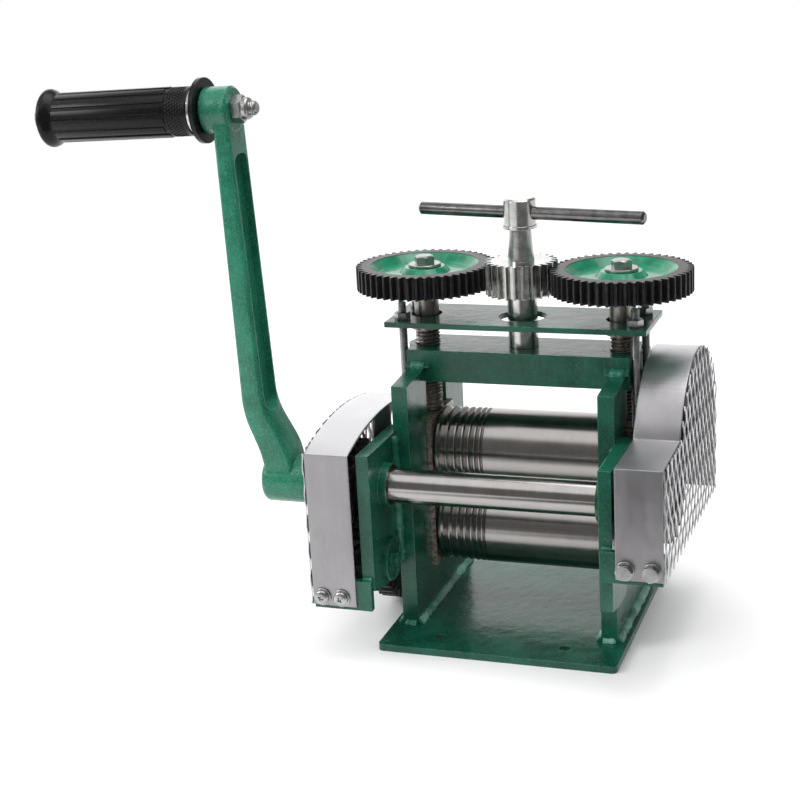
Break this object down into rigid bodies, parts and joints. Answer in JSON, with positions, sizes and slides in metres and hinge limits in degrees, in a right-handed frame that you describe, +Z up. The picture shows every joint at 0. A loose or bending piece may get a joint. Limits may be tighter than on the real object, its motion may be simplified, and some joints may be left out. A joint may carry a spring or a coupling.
{
  "type": "jewellers rolling mill",
  "caption": "Hand cranked geared rolling mill with flat and wire rolls, screw-lift top roll on a T-handle, and mesh gear covers on a bolt-down base.",
  "frame": {"origin": "middle of the base plate's underside, where it rests on the bench", "axes": "+Z up, X along the rolls with the crank at -X, -Y towards the operator"},
  "size_m": [0.3493, 0.183, 0.316],
  "materials": {
    "green_enamel": "glossy dark green enamel, brushed on thickly",
    "bright_green_enamel": "brighter green enamel in the gear webs and on the T spindle",
    "cast_green": "glossy green enamel on a cast surface",
    "ground_steel": "ground and polished steel",
    "bright_nickel": "bright nickel plate",
    "zinc_steel": "zinc plated fastener steel",
    "black_oxide": "black oxide on machined steel",
    "stainless_sheet": "satin stainless sheet",
    "galvanised_mesh": "galvanised expanded metal",
    "bronze": "oiled bearing bronze",
    "screw_steel": "oiled and slightly rusty screw steel",
    "black_plastic": "glossy black plastic"
  },
  "bodies": {
    "frame": {"base_plate": "green_enamel", "left_cheek": "green_enamel", "right_cheek": "green_enamel", "top_bar": "green_enamel", "left_bracket": "green_enamel", "right_bracket": "green_enamel", "left_shaft_bush": "bronze", "right_shaft_bush": "bronze", "idler_stud": "ground_steel", "idler_stud_nut": "green_enamel", "left_lower_block": "bronze", "right_lower_block": "bronze", "left_screw_nut": "bronze", "right_screw_nut": "bronze", "spindle_bush": "bronze", "left_cover_tab": "green_enamel", "right_cover_tab": "green_enamel", "left_gear_cover": "stainless_sheet", "right_gear_cover": "stainless_sheet", "left_cover_mesh": "galvanised_mesh", "right_cover_mesh": "galvanised_mesh", "left_cover_screws": "zinc_steel", "right_cover_bolts": "zinc_steel"},
    "crank": {"crank_shaft": "ground_steel", "left_pinion": "black_oxide", "right_pinion": "black_oxide", "crank_arm": "cast_green", "crank_hub_screw": "zinc_steel", "handle_bolt": "zinc_steel", "handle_collar": "black_plastic", "handle_nut": "zinc_steel"},
    "grip": {"grip_sleeve": "ground_steel", "handle_grip": "black_plastic"},
    "idler": {"idler_gear": "black_oxide"},
    "lower_roller": {"lower_roll": "ground_steel", "lower_roll_gear": "black_oxide", "lower_gear_nut": "zinc_steel", "lower_end_nut": "screw_steel"},
    "lift": {"lift_plate": "green_enamel", "lift_rods": "zinc_steel", "lift_rod_nuts": "zinc_steel", "left_upper_block": "bronze", "right_upper_block": "bronze"},
    "left_screw": {"left_adjusting_screw": "screw_steel", "left_lift_collars": "screw_steel", "left_adjusting_gear": "bright_green_enamel", "left_gear_bolt": "zinc_steel"},
    "right_screw": {"right_adjusting_screw": "screw_steel", "right_lift_collars": "screw_steel", "right_adjusting_gear": "bright_green_enamel", "right_gear_bolt": "zinc_steel"},
    "bushes": {"upper_bushes": "bronze"},
    "upper_roller": {"upper_roll": "ground_steel", "upper_roll_gear": "black_oxide", "upper_gear_nut": "zinc_steel", "upper_end_nut": "screw_steel"},
    "t_handle": {"pinion_spindle": "bright_nickel", "t_bar": "bright_nickel"}
  },
  "joints": [
    {"name": "crank_turn", "type": "hinge", "parent": "frame", "child": "crank", "pos_m": [0, -0.069, 0.0945], "axis": [1, 0, 0], "continuous": true},
    {"name": "grip_turn", "type": "hinge", "parent": "crank", "child": "grip", "pos_m": [-0.1422, -0.069, 0.299], "axis": [0.9993, 0, 0.0366], "continuous": true},
    {"name": "idler_turn", "type": "hinge", "parent": "frame", "child": "idler", "pos_m": [-0.08, -0.06699, 0.05055], "axis": [1, 0, 0], "continuous": true},
    {"name": "lower_roll_turn", "type": "hinge", "parent": "frame", "child": "lower_roller", "pos_m": [0, 0, 0.0495], "axis": [1, 0, 0], "continuous": true},
    {"name": "t_handle_turn", "type": "hinge", "parent": "frame", "child": "t_handle", "pos_m": [0, 0, 0.2], "axis": [0, 0, 1], "range_deg": [-1980.5, 504.5]},
    {"name": "lift_slide", "type": "slide", "parent": "frame", "child": "lift", "axis": [0, 0, 1], "range_m": [-0.0014, 0.0055]},
    {"name": "left_screw_turn", "type": "hinge", "parent": "lift", "child": "left_screw", "pos_m": [-0.05625, 0, 0.2], "axis": [0, 0, 1], "range_deg": [-252.5, 990.5]},
    {"name": "right_screw_turn", "type": "hinge", "parent": "lift", "child": "right_screw", "pos_m": [0.05625, 0, 0.2], "axis": [0, 0, 1], "range_deg": [-252.5, 990.5]},
    {"name": "bush_turn", "type": "hinge", "parent": "lift", "child": "bushes", "pos_m": [0, 0, 0.096], "axis": [1, 0, 0], "range_deg": [-1.75, 6.86]},
    {"name": "upper_roll_turn", "type": "hinge", "parent": "bushes", "child": "upper_roller", "pos_m": [0, 0, 0.096], "axis": [1, 0, 0], "continuous": true}
  ],
  "couplings": [
    {"joint": "idler_turn", "follows": "crank_turn", "ratio": -1.0952},
    {"joint": "lower_roll_turn", "follows": "crank_turn", "ratio": 0.5},
    {"joint": "upper_roll_turn", "follows": "crank_turn", "ratio": -0.5},
    {"joint": "t_handle_turn", "follows": "lift_slide", "rad_per_m": -6283.2},
    {"joint": "left_screw_turn", "follows": "lift_slide", "rad_per_m": 3141.6},
    {"joint": "right_screw_turn", "follows": "lift_slide", "rad_per_m": 3141.6},
    {"joint": "bush_turn", "follows": "lift_slide", "rad_per_m": 21.739}
  ]
}
